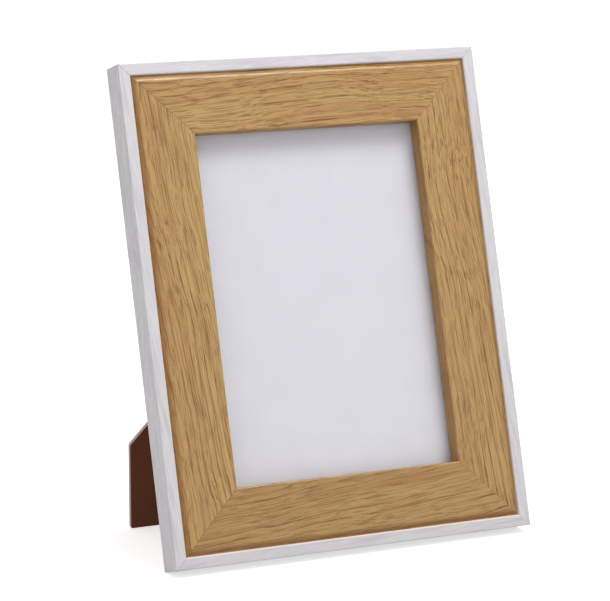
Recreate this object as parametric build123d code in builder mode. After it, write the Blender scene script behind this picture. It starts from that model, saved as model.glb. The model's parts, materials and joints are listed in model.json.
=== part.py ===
from build123d import *
import os
from math import atan2, cos, degrees, hypot, radians, sin, sqrt, tan

# Easel back photo frame for one print, standing upright on a table.
# Millimetres. X runs to the right as seen from the front, Y to the back, Z up.
# The origin is on the table, below the middle of the object's box.

os.makedirs("parts", exist_ok=True)

# The print and the stack that holds it
print_width = 130.0
print_height = 180.0
print_cover = 5.5  # how far the rails reach over the print's edges
stack_play = 0.5  # room between the stack's edges and the rebate
glass_thickness = 2.0
print_thickness = 0.4
card_thickness = 1.6
board_thickness = 3.0

# Rails: an oak moulding with a white strip round the outside
rail_width = 35.5  # both together, from the outer edge to the sight edge
frame_depth = 15.0
strip_width = 5.8
strip_outer_round = 0.5
strip_inner_round = 0.8
groove_width = 0.5  # flat floor between the white strip and the chamfer
chamfer_width = 1.9
chamfer_depth = 1.6
shoulder_round = 3.0  # where the chamfer turns into the front
sight_round = 1.0

# V nails across the back of each mitre
nail_insets = (12.0, 22.0)  # from the outer edges
nail_arm = 4.0
nail_thickness = 0.5
nail_height = 6.0
nail_sink = 0.3  # below the backs of the rails
nail_fit = 0.03

# Stance and leg
lean = 16.0  # degrees from upright
foot_spread = 78.0  # along the table, from the frame's back edge to the leg's foot
leg_thickness = 2.2
neck_width = 40.0
side_foot_length = 46.5  # the leg's edge that stands on the table with the frame on its side
side_lean = 11.0  # degrees from upright, with the frame on its side
neck_length = 25.6  # from the pin down to where the leg flares out
flare_round = 2.0
foot_round = 1.0
knee_round = 8.0
fold_gap = 0.35  # between the folded leg and the board
stop_gap = 0.1  # between the open leg's top edge and the board

# Leg hinge
pin_radius = 0.8
pin_fit = 0.03
pin_head = 0.6  # past each end of the barrel
pin_chamfer = 0.3
leaf_thickness = 0.8
leaf_width = 26.0
leaf_round = 2.0
board_leaf_length = 15.0  # from the pin
leg_leaf_length = 20.0  # from the pin
middle_knuckle = 9.0
knuckle_gap = 0.2
barrel_gap = 0.3  # round the rolled barrel
hinge_to_strap = 4.0  # from the board's leaf up to the upright hanger's strap

# Rivets
rivet_radius = 1.4
rivet_fit = 0.03
rivet_head_radius = 2.5
rivet_head_height = 0.9
rivet_head_chamfer = 0.5
rivet_facets = 12
rivet_tail_radius = 2.3
rivet_tail_height = 0.6
rivet_spacing = 14.0
rivet_edge = 5.0  # from a hinge leaf's far edge

# Turn buttons and their screws
button_thickness = 1.0
button_chamfer = 0.25
button_head_radius = 4.5
button_tip_radius = 3.0
button_reach = 13.0  # from the screw to the middle of the tip
button_setback = 7.0  # from the rebate's edge out to the screw
bottom_button_from_side = 20.0  # in from the board's edge, beside the folded leg
screw_radius = 1.25
screw_length = 9.0  # in the oak
screw_fit = 0.05
screw_head_radius = 2.7
screw_head_height = 1.5
screw_head_chamfer = 0.7
screw_tip_radius = 0.2
screw_facets = 12
screw_slot_width = 0.7
screw_slot_length = 3.2
screw_slot_depth = 0.8

# Triangle hangers
wire_radius = 0.9
wire_facets = 8
ring_base = 16.0
ring_height = 13.0
ring_bend = 2.0
ring_split = 0.2  # where the wire's ends meet, inside the strap
ring_fit = 0.1
strap_thickness = 0.5
strap_width = 7.0
strap_length = 12.0  # from the ring's axis
strap_rivet = 7.0  # from the ring's axis
strap_round = 2.0
hanger_from_top = 24.0  # from the board's edge to the ring's axis, with the frame upright
hanger_from_side = 27.0  # the same, with the frame on its side

# Sizes that follow from the ones above
outer_width = print_width - 2 * print_cover + 2 * rail_width
outer_height = print_height - 2 * print_cover + 2 * rail_width
rebate_depth = glass_thickness + print_thickness + card_thickness + board_thickness
rebate_inset = rail_width - print_cover - stack_play
half_width = outer_width / 2
half_height = outer_height / 2
board_top = half_height + print_height / 2
board_side = print_width / 2
hinge_height = board_top - hanger_from_top - strap_length - hinge_to_strap - board_leaf_length

# The hinge pin and the open leg, seen from the side
barrel_radius = pin_radius + pin_fit + leaf_thickness
pin_height = barrel_radius + barrel_gap
leg_face = pin_height - fold_gap  # from the pin to the leg's front face
lean_sin = sin(radians(lean))
lean_cos = cos(radians(lean))
pin_back = hinge_height * lean_sin + pin_height * lean_cos
pin_up = hinge_height * lean_cos - pin_height * lean_sin
pin_to_foot = hypot(foot_spread - pin_back, pin_up)
leg_length = sqrt(pin_to_foot**2 - leg_face**2)
leg_slope = atan2(foot_spread - pin_back, pin_up) + atan2(leg_face, leg_length)
open_angle = leg_slope + radians(lean)
leg_top = (pin_height - stop_gap - leg_face * cos(open_angle)) / sin(open_angle)

# Planes. On the frame's plane X is to the right, Y up the frame and Z to the front, from the rails' backs.
front_reach = frame_depth * lean_cos
back_reach = foot_spread + leg_thickness * cos(leg_slope)
frame_origin = Vector(0, (front_reach - back_reach) / 2, 0)
frame_plane = Plane(origin=frame_origin, x_dir=(1, 0, 0), z_dir=(0, -lean_cos, lean_sin))
pin_point = frame_plane.from_local_coords((0, hinge_height, -pin_height))
leg_plane = Plane(origin=pin_point, x_dir=(1, 0, 0), z_dir=(0, -cos(leg_slope), -sin(leg_slope)))
pin_on_board = Plane(origin=pin_point, x_dir=frame_plane.y_dir, z_dir=(1, 0, 0))
pin_on_leg = Plane(origin=pin_point, x_dir=leg_plane.y_dir, z_dir=(1, 0, 0))


def keep(piece, name):
    """Label a finished piece and write it to its own file."""
    piece.part.label = name
    export_step(piece.part, f"parts/{name}.step")


def placed(x, y, turn=0):
    """A plane on the rails' backs, moved to a point and turned about the frame's front direction."""
    return Plane(frame_plane.location * Location((x, y, 0), (0, 0, turn)))


# Each side of the frame: its name, the middle of its outer edge, its turn and its length.
# On a side's own plane X runs along the rail, Y inwards and Z to the front.
sides = (
    ("bottom", 0, 0, 0, outer_width),
    ("right", half_width, half_height, 90, outer_height),
    ("top", 0, outer_height, 180, outer_width),
    ("left", -half_width, half_height, 270, outer_height),
)
button_offsets = {"bottom": board_side - bottom_button_from_side, "right": 0, "top": 0, "left": 0}
button_inset = rebate_inset - button_setback


def mitre_ends(plane, length):
    """Cut both ends of the rail being built at 45 degrees."""
    for end in (-1, 1):
        corner = plane.from_local_coords((end * length / 2, 0, 0))
        outwards = plane.x_dir * end + plane.y_dir
        split(bisect_by=Plane(origin=corner, z_dir=outwards), keep=Keep.BOTTOM)


def section_plane(plane):
    """Across a rail: X inwards, Y to the front."""
    return Plane(origin=plane.origin, x_dir=plane.y_dir, z_dir=plane.x_dir)


# V nails: two steel angles across each mitre, driven in from the back
def nail_angles(growth, start, depth):
    """Steel angles or the slots for them: grown by a fit, from a start below the rails' backs to a depth."""
    with BuildSketch() as angle:
        with Locations((-growth, -growth)):
            Rectangle(nail_arm + 2 * growth, nail_thickness + 2 * growth, align=Align.MIN)
            Rectangle(nail_thickness + 2 * growth, nail_arm + 2 * growth, align=Align.MIN)
    with BuildPart() as nails:
        for name, x, y, turn, length in sides:
            for inset in nail_insets:
                apex = inset - nail_thickness / 2
                corner = placed(x, y, turn) * Location((apex - length / 2, apex, start))
                with BuildSketch(Plane(corner)):
                    add(angle.sketch)
        extrude(amount=depth - start)
    return nails


nail_depth = nail_sink + nail_height
nail_slots = nail_angles(nail_fit, 0, nail_depth + nail_fit)
keep(nail_angles(0, nail_sink, nail_depth), "corner_v_nails")

# White strips and oak rails
groove_edge = strip_width + groove_width
groove_floor = frame_depth - chamfer_depth
shoulder = (groove_edge + chamfer_width, frame_depth)
sight_edge = (rail_width, frame_depth)

for side, x, y, turn, length in sides:
    side_plane = placed(x, y, turn)

    with BuildPart() as white_strip:
        with BuildSketch(section_plane(side_plane)) as strip_section:
            Rectangle(strip_width, frame_depth, align=Align.MIN)
            front_corners = strip_section.vertices().group_by(Axis.Y)[-1].sort_by(Axis.X)
            fillet(front_corners[0], radius=strip_outer_round)
            front_corners = strip_section.vertices().group_by(Axis.Y)[-1].sort_by(Axis.X)
            fillet(front_corners[-1], radius=strip_inner_round)
        extrude(amount=length / 2, both=True)
        mitre_ends(side_plane, length)
    keep(white_strip, f"white_strip_{side}")

    with BuildPart() as oak_rail:
        with BuildSketch(section_plane(side_plane)) as oak_section:
            with BuildLine():
                Polyline(
                    (strip_width, 0),
                    (strip_width, groove_floor),
                    (groove_edge, groove_floor),
                    shoulder,
                    sight_edge,
                    (rail_width, rebate_depth),
                    (rebate_inset, rebate_depth),
                    (rebate_inset, 0),
                    close=True,
                )
            make_face()
            fillet(oak_section.vertices().sort_by_distance(sight_edge)[0], radius=sight_round)
            fillet(oak_section.vertices().sort_by_distance(shoulder)[0], radius=shoulder_round)
        extrude(amount=length / 2, both=True)
        mitre_ends(side_plane, length)
        add(nail_slots.part, mode=Mode.SUBTRACT)
        with BuildSketch(side_plane):
            with Locations((button_offsets[side], button_inset)):
                Circle(screw_radius + screw_fit)
        extrude(amount=screw_length + screw_fit, mode=Mode.SUBTRACT)
    keep(oak_rail, f"oak_rail_{side}")

# The stack in the rebate: glass, print, card and board, from the front to the back
stack_layers = (
    ("glass", glass_thickness),
    ("blank_print", print_thickness),
    ("filler_card", card_thickness),
)
layer_front = rebate_depth
for layer, thickness in stack_layers:
    layer_front -= thickness
    with BuildPart() as sheet:
        with BuildSketch(frame_plane.offset(layer_front)):
            with Locations((0, half_height)):
                Rectangle(print_width, print_height)
        extrude(amount=thickness)
    keep(sheet, layer)

# Hangers: the point on the board below each ring's axis, and the way that its ring points on a wall
back_normal = -frame_plane.z_dir
upright_point = frame_plane.from_local_coords((0, board_top - hanger_from_top, 0))
sideways_point = frame_plane.from_local_coords((board_side - hanger_from_side, half_height, 0))
hanger_planes = {
    "upright": Plane(origin=upright_point, x_dir=(-1, 0, 0), z_dir=back_normal),
    "sideways": Plane(origin=sideways_point, x_dir=frame_plane.y_dir, z_dir=back_normal),
}
strap_bore = wire_radius + ring_fit
strap_roll = strap_bore + strap_thickness
strap_height = 2 * strap_thickness
board_rivet_y = hinge_height + board_leaf_length - rivet_edge
board_rivets = [(end * rivet_spacing / 2, board_rivet_y) for end in (-1, 1)]

# Board, with holes for the hinge's and the hangers' rivets
with BuildPart() as back_board:
    with BuildSketch(frame_plane):
        with Locations((0, half_height)):
            Rectangle(print_width, print_height)
    extrude(amount=board_thickness)
    rivet_planes = [placed(x, y) for x, y in board_rivets]
    for hanger_plane in hanger_planes.values():
        rivet_point = hanger_plane.from_local_coords((0, -strap_rivet, 0))
        rivet_planes.append(Plane(origin=rivet_point, x_dir=(1, 0, 0), z_dir=frame_plane.z_dir))
    for rivet_plane in rivet_planes:
        with BuildSketch(rivet_plane):
            Circle(rivet_radius + rivet_fit)
        extrude(amount=board_thickness, mode=Mode.SUBTRACT)
        with BuildSketch(rivet_plane.offset(board_thickness)):
            Circle(rivet_tail_radius + rivet_fit)
        extrude(amount=-rivet_tail_height, mode=Mode.SUBTRACT)
keep(back_board, "back_board")


def turned(plane, lengths, facets):
    """Add a many sided pin to the part being built. A length is its start, end and the radius at each."""
    for start, end, start_radius, end_radius in lengths:
        with BuildSketch(plane.offset(start)) as start_section:
            RegularPolygon(start_radius, facets)
        with BuildSketch(plane.offset(end)) as end_section:
            RegularPolygon(end_radius, facets)
        loft([start_section.sketch, end_section.sketch], ruled=True)


def rivet(plane, grip):
    """Add a rivet to the part being built: a raised head below the plane and a flush tail above it."""
    rim = rivet_head_radius - rivet_head_chamfer
    shoulder_height = rivet_head_chamfer - rivet_head_height
    tail = grip - rivet_tail_height
    lengths = (
        (-rivet_head_height, shoulder_height, rim, rivet_head_radius),
        (shoulder_height, 0, rivet_head_radius, rivet_head_radius),
        (0, tail, rivet_radius, rivet_radius),
        (tail, grip, rivet_tail_radius, rivet_tail_radius),
    )
    turned(plane, lengths, rivet_facets)


# Leg: one board cut like a boot, with a notch for the hinge's barrel
neck_edge = neck_width / 2


def side_foot_x(down):
    """Where the leg's side edge meets the table with the frame on its side, at a distance below the pin."""
    behind = down * sin(open_angle) + pin_height - leg_face * cos(open_angle)
    return behind * tan(radians(side_lean)) - half_width


heel = (side_foot_x(leg_length), -leg_length)
toe_down = leg_length - side_foot_length
toe = (side_foot_x(toe_down), -toe_down)
knee = (-neck_edge, -neck_length)
leg_rivet_y = rivet_edge - leg_leaf_length
leg_rivets = [(end * rivet_spacing / 2, leg_rivet_y) for end in (-1, 1)]
leg_back = leg_face - leg_thickness

with BuildPart() as easel_leg:
    with BuildSketch(leg_plane.offset(leg_back)) as leg_outline:
        with BuildLine():
            Polyline(
                heel,
                toe,
                knee,
                (-neck_edge, leg_top),
                (neck_edge, leg_top),
                (neck_edge, -leg_length),
                close=True,
            )
        make_face()
        fillet(leg_outline.vertices().sort_by_distance(toe)[0], radius=flare_round)
        fillet(leg_outline.vertices().sort_by_distance(heel)[0], radius=foot_round)
        fillet(leg_outline.vertices().sort_by_distance(knee)[0], radius=knee_round)
        with Locations((0, -barrel_radius - barrel_gap)):
            notch_width = leaf_width + 2 * pin_head + 2 * barrel_gap
            Rectangle(notch_width, leg_length, align=(Align.CENTER, Align.MIN), mode=Mode.SUBTRACT)
    extrude(amount=leg_thickness)
    for rivet_x, rivet_y in leg_rivets:
        with BuildSketch(leg_plane.offset(leg_back)):
            with Locations((rivet_x, rivet_y)):
                Circle(rivet_radius + rivet_fit)
        extrude(amount=leg_thickness, mode=Mode.SUBTRACT)
        with BuildSketch(leg_plane.offset(leg_face)):
            with Locations((rivet_x, rivet_y)):
                Circle(rivet_tail_radius + rivet_fit)
        extrude(amount=-rivet_tail_height, mode=Mode.SUBTRACT)
keep(easel_leg, "easel_leg")

# Leg hinge: the board's leaf has the two outer knuckles, the leg's leaf has the middle one
outer_knuckle = (leaf_width - middle_knuckle) / 2 - knuckle_gap
outer_starts = (-leaf_width / 2, leaf_width / 2 - outer_knuckle)
tongue_length = barrel_radius + barrel_gap


def hinge_leaf(plane, pin_plane, way, length, seat, knuckles, rivet_points):
    """A stamped leaf that lies behind its seat, with its knuckles rolled round the pin."""
    with BuildPart() as leaf:
        with BuildSketch(plane.offset(seat)) as blank:
            with Locations((0, way * (tongue_length + length) / 2)):
                Rectangle(leaf_width, length - tongue_length)
            corners = blank.vertices().sort_by(Axis.Y)
            fillet(corners[-2:] if way > 0 else corners[:2], radius=leaf_round)
            for start, width in knuckles:
                with Locations((start + width / 2, way * tongue_length / 2)):
                    Rectangle(width, tongue_length)
            with Locations(*rivet_points):
                Circle(rivet_radius + rivet_fit, mode=Mode.SUBTRACT)
        extrude(amount=-leaf_thickness)
        for start, width in knuckles:
            with BuildSketch(pin_plane.offset(start)):
                Circle(barrel_radius)
            extrude(amount=width)
        with BuildSketch(pin_plane.offset(-leaf_width / 2)):
            Circle(pin_radius + pin_fit)
        extrude(amount=leaf_width, mode=Mode.SUBTRACT)
    return leaf


board_leaf_plane = placed(0, hinge_height)
board_leaf_rivets = [(x, y - hinge_height) for x, y in board_rivets]
outer_knuckles = [(start, outer_knuckle) for start in outer_starts]
board_leaf = hinge_leaf(
    board_leaf_plane, pin_on_board, 1, board_leaf_length, 0, outer_knuckles, board_leaf_rivets
)
keep(board_leaf, "hinge_board_leaf")
middle_knuckles = [(-middle_knuckle / 2, middle_knuckle)]
leg_leaf = hinge_leaf(
    leg_plane, pin_on_leg, -1, leg_leaf_length, leg_back, middle_knuckles, leg_rivets
)
keep(leg_leaf, "hinge_leg_leaf")

with BuildPart() as hinge_pin:
    with BuildSketch(pin_on_board):
        Circle(pin_radius)
    extrude(amount=leaf_width / 2 + pin_head, both=True)
    chamfer(hinge_pin.edges().filter_by(GeomType.CIRCLE), length=pin_chamfer)
keep(hinge_pin, "hinge_pin")

with BuildPart() as board_leaf_rivet_pair:
    for x, y in board_rivets:
        rivet(placed(x, y).offset(-leaf_thickness), leaf_thickness + board_thickness)
keep(board_leaf_rivet_pair, "hinge_board_rivets")

with BuildPart() as leg_leaf_rivet_pair:
    for x, y in leg_rivets:
        rivet_seat = Plane(leg_plane.location * Location((x, y, leg_back - leaf_thickness)))
        rivet(rivet_seat, leaf_thickness + leg_thickness)
keep(leg_leaf_rivet_pair, "hinge_leg_rivets")

# Turn buttons, pointing inwards over the board, and their screws
for side, x, y, turn, length in sides:
    button_plane = Plane(placed(x, y, turn) * Location((button_offsets[side], button_inset, 0)))
    with BuildPart() as turn_button:
        with BuildSketch(button_plane):
            Circle(button_head_radius)
            with Locations((0, button_reach)):
                Circle(button_tip_radius)
            make_hull()
            Circle(screw_radius + screw_fit, mode=Mode.SUBTRACT)
        extrude(amount=-button_thickness)
        back_face = turn_button.faces().sort_by(Axis(frame_origin, frame_plane.z_dir))[0]
        chamfer(back_face.outer_wire().edges(), length=button_chamfer)
    keep(turn_button, f"turn_button_{side}")

with BuildPart() as button_screws:
    for side, x, y, turn, length in sides:
        button_plane = Plane(placed(x, y, turn) * Location((button_offsets[side], button_inset, 0)))
        head_plane = button_plane.offset(-button_thickness - screw_fit)
        shank_end = button_thickness + screw_fit + screw_length
        shoulder_height = screw_head_chamfer - screw_head_height
        lengths = (
            (-screw_head_height, shoulder_height, screw_head_radius - screw_head_chamfer, screw_head_radius),
            (shoulder_height, 0, screw_head_radius, screw_head_radius),
            (0, shank_end - screw_radius, screw_radius, screw_radius),
            (shank_end - screw_radius, shank_end, screw_radius, screw_tip_radius),
        )
        turned(head_plane, lengths, screw_facets)
        with BuildSketch(head_plane.offset(-screw_head_height)):
            Rectangle(screw_slot_length, screw_slot_width)
            Rectangle(screw_slot_width, screw_slot_length)
        extrude(amount=screw_slot_depth, mode=Mode.SUBTRACT)
keep(button_screws, "turn_button_screws")

# Triangle hangers. The upright one's ring hangs straight down, the other one's lies along the board.
ring_turns = {"upright": 180 - lean, "sideways": 0}
ring_side = ring_base / 2

for hanger, plane in hanger_planes.items():
    ring_axis = plane.offset(strap_roll)

    with BuildPart() as strap:
        with BuildSketch(Plane(origin=plane.origin, x_dir=plane.y_dir, z_dir=plane.x_dir)):
            with Locations((-strap_length, 0)):
                Rectangle(strap_length, strap_height, align=Align.MIN)
            with Locations((0, strap_roll)):
                Circle(strap_roll)
                Circle(strap_bore, mode=Mode.SUBTRACT)
        extrude(amount=strap_width / 2, both=True)
        tail_edges = strap.edges().filter_by(Axis(plane.origin, plane.z_dir))
        fillet(tail_edges.sort_by(Axis(plane.origin, plane.y_dir))[:2], radius=strap_round)
        with BuildSketch(plane):
            with Locations((0, -strap_rivet)):
                Circle(rivet_radius + rivet_fit)
        extrude(amount=strap_height, mode=Mode.SUBTRACT)
    keep(strap, f"hanger_strap_{hanger}")

    with BuildPart() as ring:
        ring_plane = Plane(ring_axis.location * Location((0, 0, 0), (ring_turns[hanger], 0, 0)))
        with BuildLine(ring_plane) as ring_path:
            FilletPolyline(
                (ring_split / 2, 0),
                (ring_side, 0),
                (0, ring_height),
                (-ring_side, 0),
                (-ring_split / 2, 0),
                radius=ring_bend,
            )
        with BuildSketch(Plane(origin=ring_path.line @ 0, z_dir=ring_path.line % 0)):
            RegularPolygon(wire_radius, wire_facets)
        sweep(path=ring_path.line)
    keep(ring, f"hanger_ring_{hanger}")

with BuildPart() as hanger_rivets:
    for plane in hanger_planes.values():
        seat_point = plane.from_local_coords((0, -strap_rivet, strap_height))
        rivet_seat = Plane(origin=seat_point, x_dir=(1, 0, 0), z_dir=frame_plane.z_dir)
        rivet(rivet_seat, strap_height + board_thickness)
keep(hanger_rivets, "hanger_rivets")

print("opening angle of the leg, degrees:", degrees(open_angle))
print("leg length below the pin:", leg_length, "above the pin:", leg_top)
print("hinge pin:", pin_point)
for hanger, plane in hanger_planes.items():
    print("hanger", hanger, "axis:", plane.offset(strap_roll).origin, plane.x_dir)
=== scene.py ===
import json
import math

import bmesh
import bpy
from mathutils import Matrix, Vector


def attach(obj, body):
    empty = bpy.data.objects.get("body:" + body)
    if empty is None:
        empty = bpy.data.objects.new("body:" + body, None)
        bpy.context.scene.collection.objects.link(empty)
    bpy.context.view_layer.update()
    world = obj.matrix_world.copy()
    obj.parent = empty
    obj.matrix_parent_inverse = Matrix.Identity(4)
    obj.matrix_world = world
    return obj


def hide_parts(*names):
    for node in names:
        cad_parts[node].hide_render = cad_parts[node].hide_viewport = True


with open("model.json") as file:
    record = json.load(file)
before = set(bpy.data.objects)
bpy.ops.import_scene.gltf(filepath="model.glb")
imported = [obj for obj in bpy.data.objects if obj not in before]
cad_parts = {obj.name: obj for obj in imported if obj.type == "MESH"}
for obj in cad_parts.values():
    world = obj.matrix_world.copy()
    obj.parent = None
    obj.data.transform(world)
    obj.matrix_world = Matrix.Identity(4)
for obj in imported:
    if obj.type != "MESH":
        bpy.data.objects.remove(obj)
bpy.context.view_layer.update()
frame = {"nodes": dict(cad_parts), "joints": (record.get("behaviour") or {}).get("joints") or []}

# Easel back photo frame: finishes, finer small pieces, light and camera.
# Metres. X runs to the right as seen from the front, Y to the back, Z up.

MM = 0.001

# How finely the pieces are made
WELD = 1e-6
FLAT_ANGLE = math.radians(1)
SHARP_ANGLE = math.radians(28)
ROUND_STEPS = 48
WIRE_STEPS = 20
BEND_STEPS = 10
DOME_STEPS = 8

# Rounding of the edges of each kind of piece
WOOD_EASE = 0.12 * MM
BOARD_EASE = 0.15 * MM
METAL_EASE = 0.08 * MM

# Glass pane: the air left between it and the sheet behind it
GLASS_AIR = 0.05 * MM

# Triangle rings
WIRE_RADIUS = 0.9 * MM
RING_BASE = 16 * MM
RING_HEIGHT = 13 * MM
RING_BEND = 2 * MM
RING_SPLIT = 0.2 * MM

# Rivets and screws
RIVET_HEAD_RADIUS = 2.5 * MM
RIVET_HEAD_HEIGHT = 0.9 * MM
RIVET_RADIUS = 1.4 * MM
RIVET_TAIL_RADIUS = 2.3 * MM
RIVET_TAIL_HEIGHT = 0.6 * MM
RIVET_HEAD_RIM = 0.18 * MM
RIVET_DIMPLE_RADIUS = 0.9 * MM
RIVET_DIMPLE_EDGE = 0.873 * MM
RIVET_DIMPLE_FLOOR = 0.675 * MM
RIVET_DIMPLE_DEPTH = 0.3 * MM
SCREW_RADIUS = 1.25 * MM
SCREW_HEAD_RADIUS = 2.7 * MM
SCREW_HEAD_HEIGHT = 1.5 * MM
SCREW_HEAD_RIM = 0.5 * MM
SCREW_SLOT_WIDTH = 0.7 * MM
SCREW_SLOT_LENGTH = 3.2 * MM
SCREW_SLOT_DEPTH = 0.8 * MM

# The frame's own directions, from the turn buttons' axis, which points straight back
button_axis = next(j for j in frame["joints"] if j["name"] == "button_top_turn")["axis"]
ACROSS = Vector((1, 0, 0))
FRONT = -Vector(button_axis).normalized()
UP_FRAME = FRONT.cross(ACROSS)


def frame_point(point):
    """A point's place along the frame's own directions: across, up the frame and to the front."""
    return Vector((point.dot(ACROSS), point.dot(UP_FRAME), point.dot(FRONT)))


def frame_box(node):
    """Lowest and highest corners of a node, along the frame's own directions."""
    places = [frame_point(vertex.co) for vertex in frame["nodes"][node].data.vertices]
    low = Vector([min(place[axis] for place in places) for axis in range(3)])
    high = Vector([max(place[axis] for place in places) for axis in range(3)])
    return low, high


def srgb(red, green, blue):
    """A screen colour, 0 to 255, as the linear colour that the shaders take."""
    channels = []
    for level in (red, green, blue):
        share = level / 255
        channels.append(share / 12.92 if share <= 0.04045 else ((share + 0.055) / 1.055) ** 2.4)
    return (*channels, 1)


# Oak's growth: the width of a year's wood, and of the pores' part of it
YEAR_WIDTH = 3.6 * MM
EARLY_WOOD = 0.5 * MM


# Shader building
class Shader:
    """One material's nodes, with short calls for the kinds used here."""

    def __init__(self, name, **constants):
        self.material = bpy.data.materials.new(name)
        self.material.use_nodes = True
        self.tree = self.material.node_tree
        self.surface = self.tree.nodes["Principled BSDF"]
        for socket, value in constants.items():
            self.feed(self.surface.inputs[socket.replace("_", " ")], value)

    def feed(self, socket, value):
        """Link another node's output to a socket, or write a constant on it."""
        if isinstance(value, bpy.types.NodeSocket):
            self.tree.links.new(value, socket)
        else:
            socket.default_value = value

    def node(self, kind, inputs, output=0, **settings):
        """Add a node with its settings and inputs, and return one of its outputs."""
        made = self.tree.nodes.new(kind)
        for setting, value in settings.items():
            setattr(made, setting, value)
        for socket, value in inputs.items():
            self.feed(made.inputs[socket], value)
        return made.outputs[output]

    def place(self):
        """The place on the piece as it stands at rest, in metres."""
        return self.node("ShaderNodeTexCoord", {}, output="Object")

    def mark(self, name):
        """A number kept on the mesh's faces."""
        return self.node("ShaderNodeAttribute", {}, output="Fac", attribute_name=name)

    def grain_place(self):
        """The place in the wood: along the grain, across it and through it, in metres."""
        return self.node("ShaderNodeAttribute", {}, output="Vector", attribute_name="grain")

    def vector_math(self, operation, first, second):
        return self.node("ShaderNodeVectorMath", {0: first, 1: second}, operation=operation)

    def noise(self, place, per_metre, detail=2.0, roughness=0.5, distortion=0.0):
        """Noise with its own frequency along each direction."""
        stretched = self.vector_math("MULTIPLY", place, per_metre)
        inputs = {
            "Vector": stretched,
            "Scale": 1.0,
            "Detail": detail,
            "Roughness": roughness,
            "Distortion": distortion,
        }
        return self.node("ShaderNodeTexNoise", inputs, output="Fac")

    def math(self, operation, first, second):
        return self.node("ShaderNodeMath", {0: first, 1: second}, operation=operation)

    def span(self, value, start, end, low=0.0, high=1.0):
        """Map a value's span to another one, without going past its ends."""
        inputs = {"Value": value, "From Min": start, "From Max": end, "To Min": low, "To Max": high}
        return self.node("ShaderNodeMapRange", inputs, output="Result")

    def mix(self, share, first, second):
        """From one colour to another."""
        inputs = {0: share, 6: first, 7: second}
        return self.node("ShaderNodeMix", inputs, output=2, data_type="RGBA")

    def layer(self, colour, cover, strength, tone):
        """Lay a tone over a colour, where its cover says and as strongly as it is given."""
        return self.mix(self.math("MULTIPLY", cover, strength), colour, tone)

    def wander(self, place, per_metre, reach, detail):
        """A slow shift to either side, as far as its reach in metres."""
        return self.span(self.noise(place, per_metre, detail=detail), 0.25, 0.75, -reach, reach)

    def shifted(self, place, shift):
        """A place in the wood moved across the grain and through it."""
        offset = self.node("ShaderNodeCombineXYZ", {"Y": shift, "Z": shift})
        return self.vector_math("ADD", place, offset)

    def bump(self, height, distance):
        return self.node("ShaderNodeBump", {"Height": height, "Distance": distance}, output="Normal")

    def finish(self, **links):
        """Feed the surface and return the material."""
        for socket, value in links.items():
            self.feed(self.surface.inputs[socket.replace("_", " ")], value)
        return self.material


def oak_material():
    """Oak: yearly lines that wander along the grain, dark pores crowded along them, and fine fibres."""
    pale = srgb(197, 163, 103)
    golden = srgb(192, 153, 96)
    reddish = srgb(180, 126, 76)
    early_tone = srgb(140, 95, 48)
    fibre_tone = srgb(158, 120, 66)
    pore_tone = srgb(112, 66, 26)
    # the darker colour that a whole rail takes as painted shade
    side_shade_tone = srgb(128, 90, 48)
    polished = srgb(206, 172, 118)
    # the brown of the painted shade in the groove, on the chamfer and on the sight walls
    groove_shade_tone = srgb(132, 80, 22)
    seam_tone = srgb(98, 64, 30)
    raw_pale = srgb(222, 180, 126)
    raw_dark = srgb(208, 162, 108)
    raw_pore = srgb(168, 128, 84)

    shader = Shader("oak", Specular_IOR_Level=0.5)
    place = shader.grain_place()
    drift = shader.wander(place, (9, 16, 16), 3.5 * MM, detail=2)
    wiggle = shader.wander(place, (60, 140, 140), 0.2 * MM, detail=1)
    warped = shader.shifted(place, shader.math("ADD", drift, wiggle))
    across = shader.node("ShaderNodeSeparateXYZ", {0: warped}, output="Y")
    from_line = shader.math("PINGPONG", across, YEAR_WIDTH / 2)
    fading = shader.span(shader.noise(warped, (9, 110, 110), detail=1), 0.35, 0.6, 0.2, 1.0)
    early = shader.math("MULTIPLY", shader.span(from_line, 0.0, EARLY_WOOD, 1.0, 0.0), fading)
    patches = shader.span(shader.noise(warped, (5, 70, 70), detail=2), 0.38, 0.62)
    red = shader.span(shader.noise(warped, (8, 400, 400), detail=2), 0.5, 0.64)
    fibres = shader.span(shader.noise(warped, (120, 2200, 2200), detail=2, roughness=0.6), 0.3, 0.7)
    dashes = shader.noise(warped, (40, 2000, 2000), detail=2, roughness=0.6)
    crowding = shader.span(early, 0.0, 0.8, 0.55, 1.0)
    pores = shader.math("MULTIPLY", shader.span(dashes, 0.52, 0.57), crowding)

    colour = shader.mix(patches, pale, golden)
    colour = shader.layer(colour, red, 0.55, reddish)
    colour = shader.layer(colour, early, 0.8, early_tone)
    colour = shader.layer(colour, fibres, 0.36, fibre_tone)
    colour = shader.layer(colour, pores, 0.95, pore_tone)
    # painted shade: a whole rail darker, most of all the bottom one
    colour = shader.mix(shader.mark("tone"), colour, side_shade_tone)
    colour = shader.layer(colour, shader.mark("worn"), 0.3, polished)
    # painted shade in the groove, on the chamfer and on the sight walls, stronger on the sides turned
    # away from the key lamp
    colour = shader.layer(colour, shader.mark("groove"), 0.85, groove_shade_tone)
    colour = shader.layer(colour, shader.mark("seam"), 0.5, seam_tone)
    raw = shader.mix(pores, shader.mix(patches, raw_pale, raw_dark), raw_pore)
    colour = shader.mix(shader.mark("raw"), colour, raw)

    gloss = shader.span(fibres, 0.0, 1.0, 0.2, 0.3)
    dullness = shader.math("MULTIPLY", shader.mark("groove"), 0.6)
    height = shader.math("SUBTRACT", shader.math("MULTIPLY", fibres, 0.35), pores)
    return shader.finish(
        Base_Color=colour,
        Roughness=shader.math("ADD", gloss, dullness),
        Normal=shader.bump(height, 0.015 * MM),
    )


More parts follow.
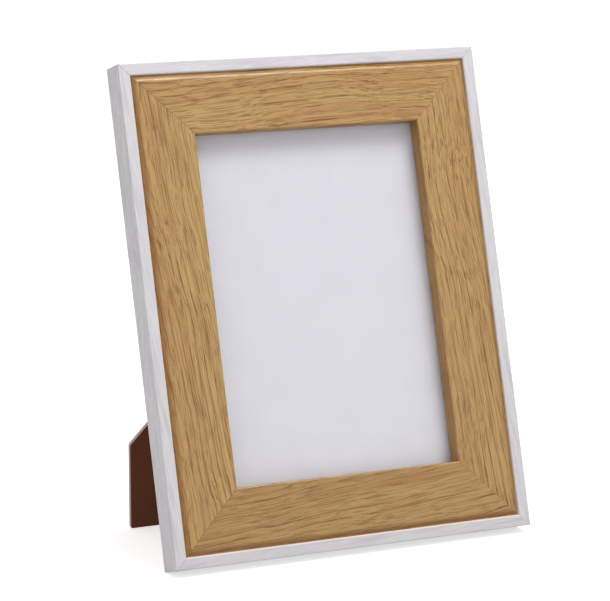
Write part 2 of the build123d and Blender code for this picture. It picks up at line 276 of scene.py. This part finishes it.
def white_material():
    """Whitewashed wood: a thin pale coat over grain that still shows a little."""
    bright = srgb(226, 223, 225)
    cloudy = srgb(216, 215, 220)
    fibre_tone = srgb(194, 190, 196)
    streak_tone = srgb(198, 186, 192)
    # the darker colour that a whole strip takes as painted shade
    side_shade_tone = srgb(186, 184, 187)
    polished = srgb(232, 228, 228)
    # the warm colour of the painted highlight on the strips' inner edges
    highlight_tone = srgb(244, 222, 206)
    seam_tone = srgb(150, 138, 136)
    raw_pale = srgb(242, 213, 184)
    raw_dark = srgb(228, 194, 162)

    shader = Shader("white_wood", Specular_IOR_Level=0.4)
    place = shader.grain_place()
    warped = shader.shifted(place, shader.wander(place, (20, 90, 90), 1.5 * MM, detail=1))
    fibres = shader.span(shader.noise(warped, (110, 1500, 1500), detail=2, roughness=0.6), 0.35, 0.68)
    streaks = shader.span(shader.noise(warped, (30, 560, 560), detail=2), 0.5, 0.7)
    clouds = shader.span(shader.noise(place, (45, 110, 110), detail=2), 0.35, 0.7)

    colour = shader.mix(clouds, bright, cloudy)
    colour = shader.layer(colour, fibres, 0.42, fibre_tone)
    colour = shader.layer(colour, streaks, 0.6, streak_tone)
    # painted shade: a whole strip darker, most of all the bottom one
    colour = shader.mix(shader.mark("tone"), colour, side_shade_tone)
    colour = shader.layer(colour, shader.mark("worn"), 0.25, polished)
    # painted highlight, with a painted warm reflection of the oak, along the inner front edge, strongest
    # on the sides that face the key lamp
    colour = shader.mix(shader.mark("lit_edge"), colour, highlight_tone)
    colour = shader.layer(colour, shader.mark("seam"), 0.6, seam_tone)
    colour = shader.mix(shader.mark("raw"), colour, shader.mix(fibres, raw_pale, raw_dark))

    return shader.finish(
        Base_Color=colour,
        Roughness=shader.span(fibres, 0.0, 1.0, 0.38, 0.52),
        Normal=shader.bump(shader.math("ADD", fibres, streaks), -0.02 * MM),
    )


def paper_material():
    """Plain white sheet with faint fibre clouds."""
    shader = Shader("paper", Specular_IOR_Level=0.2)
    place = shader.place()
    clouds = shader.span(shader.noise(place, (70, 70, 70), detail=3), 0.35, 0.7)
    fibres = shader.noise(place, (2600, 2600, 2600), detail=2)
    colour = shader.mix(clouds, srgb(220, 219, 227), srgb(216, 216, 224))
    return shader.finish(
        Base_Color=colour,
        Roughness=shader.span(fibres, 0.3, 0.7, 0.72, 0.86),
        Normal=shader.bump(fibres, 0.01 * MM),
    )


def card_material():
    """Grey pulp card with lighter and darker flecks."""
    shader = Shader("grey_card", Specular_IOR_Level=0.2)
    place = shader.place()
    flecks = shader.span(shader.noise(place, (1400, 1400, 1400), detail=4, roughness=0.7), 0.38, 0.66)
    colour = shader.mix(flecks, srgb(172, 166, 156), srgb(146, 140, 132))
    return shader.finish(
        Base_Color=colour,
        Roughness=shader.span(flecks, 0.0, 1.0, 0.8, 0.92),
        Normal=shader.bump(flecks, 0.03 * MM),
    )


def board_material():
    """Dark brown fibreboard: a mottled coated face and lighter cut edges."""
    shader = Shader("brown_board", Specular_IOR_Level=0.25)
    place = shader.place()
    mottle = shader.span(shader.noise(place, (150, 150, 150), detail=4, roughness=0.6), 0.32, 0.68)
    fibres = shader.noise(place, (1900, 1900, 1900), detail=4, roughness=0.7, distortion=1.2)
    flecks = shader.span(fibres, 0.56, 0.7)
    colour = shader.mix(mottle, srgb(121, 69, 46), srgb(112, 63, 42))
    colour = shader.layer(colour, flecks, 0.3, srgb(146, 98, 70))
    cut_tone = shader.mix(flecks, srgb(206, 180, 170), srgb(176, 142, 130))
    colour = shader.mix(shader.mark("cut"), colour, cut_tone)
    return shader.finish(
        Base_Color=colour,
        Roughness=shader.span(fibres, 0.3, 0.7, 0.58, 0.78),
        Normal=shader.bump(fibres, 0.04 * MM),
    )


def glass_material():
    """Clear sheet glass, with smears that only show in its gloss."""
    shader = Shader("glass", Transmission_Weight=1.0, IOR=1.5, Base_Color=(1, 1, 1, 1), Alpha=0.3)
    smears = shader.noise(shader.place(), (35, 35, 60), detail=3)
    return shader.finish(Roughness=shader.span(smears, 0.4, 0.75, 0.0, 0.02))


def metal_material(name, light, dark, roughness, tarnish):
    """Plated steel: a fine brushed sheen, cloudy plating and tarnished specks."""
    shader = Shader(name, Metallic=1.0)
    place = shader.place()
    clouds = shader.span(shader.noise(place, (420, 420, 420), detail=3), 0.35, 0.68)
    brushing = shader.noise(place, (900, 9000, 9000), detail=2)
    specks = shader.span(shader.noise(place, (1500, 1500, 1500), detail=2), 0.66, 0.74)
    colour = shader.mix(clouds, light, dark)
    colour = shader.layer(colour, specks, 0.45, tarnish)
    worn_rough = shader.span(clouds, 0.0, 1.0, roughness - 0.06, roughness + 0.1)
    return shader.finish(
        Base_Color=colour,
        Roughness=shader.math("ADD", worn_rough, shader.span(brushing, 0.3, 0.7, -0.04, 0.06)),
        Normal=shader.bump(brushing, 0.004 * MM),
    )


materials = {
    "oak": oak_material(),
    "white_wood": white_material(),
    "paper": paper_material(),
    "grey_card": card_material(),
    "brown_board": board_material(),
    "glass": glass_material(),
    "zinc_steel": metal_material(
        "zinc_steel", srgb(206, 206, 203), srgb(180, 181, 180), 0.36, srgb(120, 118, 112)
    ),
    "bright_steel": metal_material(
        "bright_steel", srgb(216, 215, 212), srgb(196, 195, 192), 0.24, srgb(132, 128, 122)
    ),
    "brass": metal_material("brass", srgb(216, 184, 122), srgb(204, 170, 108), 0.3, srgb(126, 94, 52)),
}


# Pieces
def piece(name, mesh, body, node, slot):
    """Make an object of a mesh that stands for a node, on its body and with its finish."""
    made = bpy.data.objects.new(name, mesh)
    bpy.context.scene.collection.objects.link(made)
    mesh.materials.clear()
    mesh.materials.append(materials[slot])
    for polygon in mesh.polygons:
        polygon.material_index = 0
    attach(made, body)
    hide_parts(node)
    return made


def smooth(mesh):
    """Shade a mesh smoothly, apart from its sharp edges."""
    mesh.shade_smooth()
    mesh.set_sharp_from_angle(angle=SHARP_ANGLE)


def welded(node):
    """A node's faces, joined along their edges, with flat faces whole again."""
    shape = bmesh.new()
    shape.from_mesh(frame["nodes"][node].data)
    bmesh.ops.remove_doubles(shape, verts=shape.verts, dist=WELD)
    bmesh.ops.dissolve_limit(shape, angle_limit=FLAT_ANGLE, verts=shape.verts, edges=shape.edges)
    return shape


def eased_mesh(node, ease):
    """A copy of a node's mesh with its sharp edges rounded. The rounded faces are marked as worn."""
    shape = welded(node)
    worn = shape.faces.layers.float.new("worn")
    sharp = [edge for edge in shape.edges if edge.is_manifold and edge.calc_face_angle() > SHARP_ANGLE]
    rounded = bmesh.ops.bevel(
        shape, geom=sharp, offset=ease, segments=2, profile=0.5, affect="EDGES", clamp_overlap=False
    )
    for face in rounded["faces"]:
        face[worn] = 1.0
    mesh = bpy.data.meshes.new(node)
    shape.to_mesh(mesh)
    shape.free()
    smooth(mesh)
    return mesh


def weigh_normals(made):
    """Keep flat faces flat in their shading, and leave the turn of the light to the rounded edges."""
    modifier = made.modifiers.new("weighted normals", "WEIGHTED_NORMAL")
    modifier.keep_sharp = True


def mark_faces(mesh, name, level):
    """Keep a number from 0 to 1 on each face."""
    marks = mesh.attributes.new(name, "FLOAT", "FACE")
    for polygon in mesh.polygons:
        marks.data[polygon.index].value = min(max(float(level(polygon)), 0.0), 1.0)


def grow_grain(mesh, along, across, through, start):
    """Give each point its place in the wood: along the grain, across it and through it."""
    grain = mesh.attributes.new("grain", "FLOAT_VECTOR", "POINT")
    for vertex in mesh.vertices:
        place = (vertex.co.dot(along), vertex.co.dot(across), vertex.co.dot(through))
        grain.data[vertex.index].vector = Vector(place) + start


# Rails and strips. Each side is cut from its own length of wood, so its grain starts at its own place.
sides = {"bottom": ACROSS, "right": UP_FRAME, "top": -ACROSS, "left": -UP_FRAME}
GRAIN_STEP = Vector((0.41, 0.17, 0.23))
GRAIN_TILTS = {"bottom": -0.09, "right": -0.08, "top": -0.03, "left": -0.09}

# How strong each painted shade and painted highlight is on each side, from 0 to 1
# rail and strip shades: painted shade that darkens a whole side, most of all the bottom one
RAIL_SHADES = {"bottom": 0.18, "right": 0.03, "top": 0.0, "left": 0.0}
# painted shade in the groove and on the chamfer, and on the sight walls, strongest where a side is
# turned away from the key lamp
GROOVE_PAINTED_SHADE = {"bottom": 0.5, "right": 0.1, "top": 0.0, "left": 0.6}
SIGHT_PAINTED_SHADE = {"bottom": 0.0, "right": 0.5, "top": 0.4, "left": 0.3}
STRIP_SHADES = {"bottom": 0.2, "right": 0.05, "top": 0.0, "left": 0.0}
# edge highlights: painted highlight and painted warm reflection on the strips' inner edges
STRIP_EDGE_HIGHLIGHTS = {"bottom": 0.7, "right": 0.1, "top": 0.0, "left": 0.6}
GROOVE_FLOOR_SHARE = 0.5
TIGHT_SEAM = 0.3

# The mitres and the chamfer beside the groove, and how fast the painted shade on the chamfer grows
SEAM_REACH = 0.25 * MM
CHAMFER_WIDTH = 1.9 * MM
CHAMFER_DEPTH = 1.6 * MM
SHADE_SPREAD = 1.4

# How a face is told from others, by its height above the back and by the way it is turned
LEVEL_REACH = 0.1 * MM
TURNED_BACK = -0.7
TURNED_TO_EDGE = 0.2

rail_low, rail_high = frame_box("oak_rail_top")
rail_back = rail_low.z
groove_floor = rail_high.z - CHAMFER_DEPTH
chamfer_tilt = math.sin(math.atan2(CHAMFER_DEPTH, CHAMFER_WIDTH))
outer_low = frame_box("white_strip_bottom")[0]
outer_high = frame_box("white_strip_top")[1]


def seam(face, worn):
    """How dark a mitre's rounded edges are: the mitres on the right are the tighter ones."""
    place = frame_point(face.center)
    from_side = min(place.x - outer_low.x, outer_high.x - place.x)
    from_end = min(place.y - outer_low.y, outer_high.y - place.y)
    if worn[face.index].value < 0.5 or abs(from_side - from_end) > SEAM_REACH:
        return 0
    return 1 if place.x < 0 else TIGHT_SEAM


def is_raw(face):
    """Whether a face is at the back, where the wood has no coat."""
    height = frame_point(face.center).z
    return face.normal.dot(FRONT) < TURNED_BACK or height < rail_back + LEVEL_REACH


def painted_groove_shade(face, inwards, side):
    """How strong the painted shade on an oak face is, in the groove, on the chamfer and on the sight
    wall: less on the groove's floor, and less as a face turns to the front.
    """
    height = frame_point(face.center).z
    if abs(height - groove_floor) < LEVEL_REACH:
        return GROOVE_PAINTED_SHADE[side] * GROOVE_FLOOR_SHARE
    lean = face.normal.dot(inwards)
    if lean > 0:
        return SIGHT_PAINTED_SHADE[side] * lean
    if height < groove_floor:
        return 0
    return GROOVE_PAINTED_SHADE[side] * min(1, -SHADE_SPREAD * lean / chamfer_tilt)


def highlight_on_edge(face, inwards, side):
    """How strong the painted highlight, warmed by a painted reflection of the oak, is on a face of a
    white strip: only along its inner front edge.
    """
    on_edge = min(face.normal.dot(inwards), face.normal.dot(FRONT)) > TURNED_TO_EDGE
    return STRIP_EDGE_HIGHLIGHTS[side] if on_edge else 0


for order, (side, along) in enumerate(sides.items()):
    inwards = FRONT.cross(along)
    for kind, node, slot in (
        ("oak_moulding", f"oak_rail_{side}", "oak"),
        ("white_lath", f"white_strip_{side}", "white_wood"),
    ):
        mesh = eased_mesh(node, WOOD_EASE)
        tilt = GRAIN_TILTS[side]
        grow_grain(mesh, along - inwards * tilt, inwards + along * tilt, FRONT, GRAIN_STEP * (order + 1))
        mark_faces(mesh, "seam", lambda face: seam(face, mesh.attributes["worn"].data))
        mark_faces(mesh, "raw", is_raw)
        if slot == "oak":
            mark_faces(mesh, "groove", lambda face: painted_groove_shade(face, inwards, side))
            mark_faces(mesh, "tone", lambda face: RAIL_SHADES[side])
        else:
            mark_faces(mesh, "lit_edge", lambda face: highlight_on_edge(face, inwards, side))
            mark_faces(mesh, "tone", lambda face: STRIP_SHADES[side])
        weigh_normals(piece(f"{kind}_{side}", mesh, "frame", node, slot))

# Boards. Their cut edges are the faces that don't lie along the largest one.
ALONG_FACE = 0.98
for name, body, node in (("leg_board", "leg", "easel_leg"), ("backing_board", "frame", "back_board")):
    mesh = eased_mesh(node, BOARD_EASE)
    largest = max(mesh.polygons, key=lambda face: face.area).normal.copy()
    mark_faces(mesh, "cut", lambda face: abs(face.normal.dot(largest)) < ALONG_FACE)
    weigh_normals(piece(name, mesh, body, node, "brown_board"))

# Stamped metal
stamped = [
    ("board_leaf", "frame", "hinge_board_leaf", "brass"),
    ("leg_leaf", "leg", "hinge_leg_leaf", "brass"),
    ("upright_strap", "frame", "hanger_strap_upright", "zinc_steel"),
    ("sideways_strap", "frame", "hanger_strap_sideways", "zinc_steel"),
]
stamped += [(f"button_{side}", f"button_{side}", f"turn_button_{side}", "brass") for side in sides]
for name, body, node, slot in stamped:
    weigh_normals(piece(f"{name}_plate", eased_mesh(node, METAL_EASE), body, node, slot))


# Glass
def glass_pane():
    """The pane with eased edges, its back moved just clear of the sheet behind it."""
    shape = welded("glass")
    middle = sum((vertex.co.dot(FRONT) for vertex in shape.verts), 0.0) / len(shape.verts)
    for vertex in shape.verts:
        if vertex.co.dot(FRONT) < middle:
            vertex.co += FRONT * GLASS_AIR
    bmesh.ops.bevel(
        shape, geom=shape.edges[:], offset=METAL_EASE, segments=1, profile=0.5, affect="EDGES"
    )
    mesh = bpy.data.meshes.new("glass_pane")
    shape.to_mesh(mesh)
    shape.free()
    return mesh


piece("glass_pane", glass_pane(), "frame", "glass", "glass")


# Round pieces
def separate_solids(node):
    """The points of each separate solid in a node."""
    shape = welded(node)
    seen = set()
    solids = []
    for first in shape.verts:
        if first in seen:
            continue
        seen.add(first)
        waiting = [first]
        points = []
        while waiting:
            vertex = waiting.pop()
            points.append(vertex.co.copy())
            near = [edge.other_vert(vertex) for edge in vertex.link_edges]
            fresh = [other for other in near if other not in seen]
            seen.update(fresh)
            waiting.extend(fresh)
        solids.append(points)
    shape.free()
    return sorted(solids, key=lambda points: tuple(sum(points, Vector()) / len(points)))


def turned(shape, profile, foot, axis):
    """Add a closed turned solid to a mesh. The profile's points are (radius, height above the foot)."""
    first = axis.orthogonal().normalized()
    second = axis.cross(first)
    rings = []
    for radius, height in profile:
        centre = foot + axis * height
        if radius == 0:
            rings.append([shape.verts.new(centre)])
            continue
        angles = [2 * math.pi * step / ROUND_STEPS for step in range(ROUND_STEPS)]
        rings.append(
            [
                shape.verts.new(centre + (first * math.cos(a) + second * math.sin(a)) * radius)
                for a in angles
            ]
        )
    for lower, upper in zip(rings, rings[1:]):
        for step in range(ROUND_STEPS):
            following = (step + 1) % ROUND_STEPS
            corners = [
                lower[step % len(lower)],
                lower[following % len(lower)],
                upper[following % len(upper)],
                upper[step % len(upper)],
            ]
            shape.faces.new(list(dict.fromkeys(corners)))


def dome(radius, height, rim):
    """Points from the edge of a domed head, with an upright rim, to its middle."""
    points = [(radius, 0)]
    for step in range(DOME_STEPS):
        angle = step / DOME_STEPS * math.pi / 2
        points.append((radius * math.cos(angle), rim + (height - rim) * math.sin(angle)))
    return points


def mesh_of(shape, name):
    """Turn a shape into a smoothly shaded mesh, with its faces to the outside."""
    bmesh.ops.recalc_face_normals(shape, faces=shape.faces)
    mesh = bpy.data.meshes.new(name)
    shape.to_mesh(mesh)
    shape.free()
    smooth(mesh)
    return mesh


def rivets(name, body, node, outwards):
    """Tubular rivets: a low domed head with a dimple outside, and a flush tail inside."""
    shape = bmesh.new()
    for points in separate_solids(node):
        centre = sum(points, Vector()) / len(points)
        heights = [point.dot(outwards) for point in points]
        grip = max(heights) - min(heights) - RIVET_HEAD_HEIGHT
        on_axis = centre + outwards * (max(heights) - RIVET_HEAD_HEIGHT - centre.dot(outwards))
        head = [
            (radius, height)
            for radius, height in dome(RIVET_HEAD_RADIUS, RIVET_HEAD_HEIGHT, RIVET_HEAD_RIM)
            if radius > RIVET_DIMPLE_RADIUS
        ]
        profile = [
            (0, -grip),
            (RIVET_TAIL_RADIUS, -grip),
            (RIVET_TAIL_RADIUS, RIVET_TAIL_HEIGHT - grip),
            (RIVET_RADIUS, RIVET_TAIL_HEIGHT - grip),
            (RIVET_RADIUS, 0),
            *head,
            (RIVET_DIMPLE_RADIUS, RIVET_DIMPLE_EDGE),
            (RIVET_DIMPLE_FLOOR, RIVET_HEAD_HEIGHT - RIVET_DIMPLE_DEPTH),
            (0, RIVET_HEAD_HEIGHT - RIVET_DIMPLE_DEPTH),
        ]
        turned(shape, profile, on_axis, outwards)
    piece(name, mesh_of(shape, name), body, node, "zinc_steel")


leg_back = max(frame["nodes"]["easel_leg"].data.polygons, key=lambda face: face.area).normal.copy()
leg_back *= math.copysign(1, leg_back.y)
rivets("board_leaf_rivets", "frame", "hinge_board_rivets", -FRONT)
rivets("hanger_strap_rivets", "frame", "hanger_rivets", -FRONT)
rivets("leg_leaf_rivets", "leg", "hinge_leg_rivets", leg_back)


def cut_crosses(made, tops, outwards):
    """Cut a cross recess into each screw head."""
    shape = bmesh.new()
    for top in tops:
        for width, length in (
            (SCREW_SLOT_WIDTH, SCREW_SLOT_LENGTH),
            (SCREW_SLOT_LENGTH, SCREW_SLOT_WIDTH),
        ):
            size = Matrix.Diagonal((width, length, 2 * SCREW_SLOT_DEPTH, 1))
            turn = Matrix((ACROSS, UP_FRAME, outwards)).transposed().to_4x4()
            bmesh.ops.create_cube(shape, size=1, matrix=Matrix.Translation(top) @ turn @ size)
    cutter = bpy.data.objects.new("cross_cutter", mesh_of(shape, "cross_cutter"))
    bpy.context.scene.collection.objects.link(cutter)
    modifier = made.modifiers.new("cross", "BOOLEAN")
    modifier.object = cutter
    modifier.operation = "DIFFERENCE"
    modifier.solver = "EXACT"
    modifier.use_self = True
    graph = bpy.context.evaluated_depsgraph_get()
    cut_mesh = bpy.data.meshes.new_from_object(made.evaluated_get(graph))
    made.modifiers.clear()
    made.data = cut_mesh
    smooth(cut_mesh)
    bpy.data.objects.remove(cutter)


def screws():
    """Pan head screws with a cross recess, one through each turn button."""
    shape = bmesh.new()
    outwards = -FRONT
    tops = []
    for points in separate_solids("turn_button_screws"):
        centre = sum(points, Vector()) / len(points)
        heights = [point.dot(outwards) for point in points]
        length = max(heights) - min(heights) - SCREW_HEAD_HEIGHT
        seat = centre + outwards * (max(heights) - SCREW_HEAD_HEIGHT - centre.dot(outwards))
        profile = [
            (0, -length),
            (SCREW_RADIUS, SCREW_RADIUS - length),
            (SCREW_RADIUS, 0),
            *dome(SCREW_HEAD_RADIUS, SCREW_HEAD_HEIGHT, SCREW_HEAD_RIM),
            (0, SCREW_HEAD_HEIGHT),
        ]
        turned(shape, profile, seat, outwards)
        tops.append(seat + outwards * SCREW_HEAD_HEIGHT)
    name = "button_screws"
    made = piece(name, mesh_of(shape, name), "frame", "turn_button_screws", "brass")
    cut_crosses(made, tops, outwards)


screws()


# Triangle rings of bent wire
def rounded_path(corners, bend):
    """The points of an open path through corners, each rounded by an arc."""
    path = [corners[0]]
    for before, corner, after in zip(corners, corners[1:], corners[2:]):
        back = (before - corner).normalized()
        on = (after - corner).normalized()
        half = back.angle(on) / 2
        centre = corner + (back + on).normalized() * bend / math.sin(half)
        start = corner + back * bend / math.tan(half) - centre
        end = corner + on * bend / math.tan(half) - centre
        for step in range(BEND_STEPS + 1):
            outwards = start.normalized().slerp(end.normalized(), step / BEND_STEPS)
            path.append(centre + outwards * bend)
    path.append(corners[-1])
    return path


def wire_ring(hanger):
    """A triangle of round wire whose ends meet inside the strap."""
    node = f"hanger_ring_{hanger}"
    joint = next(j for j in frame["joints"] if j["name"] == f"ring_{hanger}_swing")
    middle = Vector(joint["pos_m"])
    axis = Vector(joint["axis"]).normalized()
    points = [vertex.co for vertex in frame["nodes"][node].data.vertices]
    reach = sum(points, Vector()) / len(points) - middle
    upwards = (reach - axis * reach.dot(axis)).normalized()
    normal = axis.cross(upwards)
    corners = [
        axis * RING_SPLIT / 2,
        axis * RING_BASE / 2,
        upwards * RING_HEIGHT,
        -axis * RING_BASE / 2,
        -axis * RING_SPLIT / 2,
    ]
    path = rounded_path(corners, RING_BEND)
    shape = bmesh.new()
    rings = []
    for step, point in enumerate(path):
        ahead = path[min(step + 1, len(path) - 1)] - path[max(step - 1, 0)]
        outwards = ahead.normalized().cross(normal)
        circle = []
        for turn in range(WIRE_STEPS):
            angle = 2 * math.pi * turn / WIRE_STEPS
            rim = (outwards * math.cos(angle) + normal * math.sin(angle)) * WIRE_RADIUS
            circle.append(shape.verts.new(middle + point + rim))
        rings.append(circle)
    for lower, upper in zip(rings, rings[1:]):
        for turn in range(WIRE_STEPS):
            following = (turn + 1) % WIRE_STEPS
            shape.faces.new((lower[turn], lower[following], upper[following], upper[turn]))
    shape.faces.new(rings[0])
    shape.faces.new(rings[-1])
    name = f"{hanger}_wire_ring"
    piece(name, mesh_of(shape, name), f"ring_{hanger}", node, "bright_steel")


wire_ring("upright")
wire_ring("sideways")

# Nodes whose shape stays as it is
kept_nodes = {
    "blank_print": "paper",
    "filler_card": "grey_card",
    "corner_v_nails": "bright_steel",
    "hinge_pin": "bright_steel",
}
for node, slot in kept_nodes.items():
    mesh = frame["nodes"][node].data
    mesh.materials.clear()
    mesh.materials.append(materials[slot])

# Floor and sky
FLOOR_SIZE = 8.0
FLOOR_SEEN = 0.93
FLOOR_GLOW = 0.6
FLOOR_BOUNCE = 0.52
SKY_LEVEL = 0.535


def seen_directly(tree):
    """An output that is 1 where a surface is seen by the camera, in a reflection or through glass."""
    path = tree.nodes.new("ShaderNodeLightPath")
    shown = path.outputs["Is Camera Ray"]
    for ray in ("Is Glossy Ray", "Is Transmission Ray"):
        either = tree.nodes.new("ShaderNodeMath")
        either.operation = "MAXIMUM"
        tree.links.new(shown, either.inputs[0])
        tree.links.new(path.outputs[ray], either.inputs[1])
        shown = either.outputs[0]
    return shown


def floor_material():
    """A matt pale floor, white where it is seen, that sends back less light to the object."""
    material = bpy.data.materials.new("floor")
    material.use_nodes = True
    tree = material.node_tree
    tree.nodes.clear()
    bounced = tree.nodes.new("ShaderNodeBsdfDiffuse")
    bounced.inputs["Color"].default_value = (FLOOR_BOUNCE, FLOOR_BOUNCE, FLOOR_BOUNCE, 1)
    matt = tree.nodes.new("ShaderNodeBsdfDiffuse")
    matt.inputs["Color"].default_value = (FLOOR_SEEN, FLOOR_SEEN, FLOOR_SEEN, 1)
    glow = tree.nodes.new("ShaderNodeEmission")
    glow.inputs["Strength"].default_value = FLOOR_GLOW
    shown = tree.nodes.new("ShaderNodeAddShader")
    tree.links.new(matt.outputs[0], shown.inputs[0])
    tree.links.new(glow.outputs[0], shown.inputs[1])
    mixed = tree.nodes.new("ShaderNodeMixShader")
    tree.links.new(seen_directly(tree), mixed.inputs[0])
    tree.links.new(bounced.outputs[0], mixed.inputs[1])
    tree.links.new(shown.outputs[0], mixed.inputs[2])
    output = tree.nodes.new("ShaderNodeOutputMaterial")
    tree.links.new(mixed.outputs[0], output.inputs["Surface"])
    return material


def floor():
    """A large flat floor, which isn't part of the object."""
    shape = bmesh.new()
    bmesh.ops.create_grid(shape, x_segments=1, y_segments=1, size=FLOOR_SIZE / 2)
    mesh = bpy.data.meshes.new("floor")
    shape.to_mesh(mesh)
    shape.free()
    mesh.materials.append(floor_material())
    made = bpy.data.objects.new("floor", mesh)
    bpy.context.scene.collection.objects.link(made)


def sky():
    """Even soft light, white where it is seen directly, in a reflection or through glass."""
    world = bpy.data.worlds.new("studio")
    bpy.context.scene.world = world
    world.use_nodes = True
    tree = world.node_tree
    strength = tree.nodes.new("ShaderNodeMapRange")
    strength.inputs["To Min"].default_value = SKY_LEVEL
    strength.inputs["To Max"].default_value = 1.0
    tree.links.new(seen_directly(tree), strength.inputs["Value"])
    background = tree.nodes["Background"]
    background.inputs["Color"].default_value = (1, 1, 1, 1)
    tree.links.new(strength.outputs["Result"], background.inputs["Strength"])


floor()
sky()

# Lamps: a key from above on the right and a broad fill from the left.
# Each has its direction from the object's middle, distance, size and power.
OBJECT_MIDDLE = Vector((0, 0, 0.12))
lamps = (
    ("key", 0.4 * ACROSS + 1.25 * UP_FRAME + FRONT, 1.5, 0.7, 14.8),
    ("fill", Vector((-0.90, -0.45, 0.25)), 1.6, 1.2, 3.2),
)
for name, direction, distance, size, power in lamps:
    data = bpy.data.lights.new(name, "AREA")
    data.size = size
    data.energy = power
    lamp = bpy.data.objects.new(name, data)
    lamp.location = OBJECT_MIDDLE + direction.normalized() * distance
    lamp.rotation_euler = (-direction).to_track_quat("-Z", "Y").to_euler()
    bpy.context.scene.collection.objects.link(lamp)

# Camera
CAMERA_PLACE = (-0.5949, -1.23422, 0.38233)
CAMERA_YAW = 25.502
CAMERA_PITCH = 10.973
CAMERA_LENS = 169.01
CAMERA_SENSOR = 36.0
CAMERA_REACH = 50.0
camera_data = bpy.data.cameras.new("camera")
camera_data.lens = CAMERA_LENS
camera_data.sensor_width = CAMERA_SENSOR
camera_data.clip_end = CAMERA_REACH
camera = bpy.data.objects.new("camera", camera_data)
camera.location = CAMERA_PLACE
camera.rotation_euler = (math.radians(90 - CAMERA_PITCH), 0, math.radians(-CAMERA_YAW))
bpy.context.scene.collection.objects.link(camera)
bpy.context.scene.camera = camera
bpy.context.scene.view_settings.view_transform = "Standard"
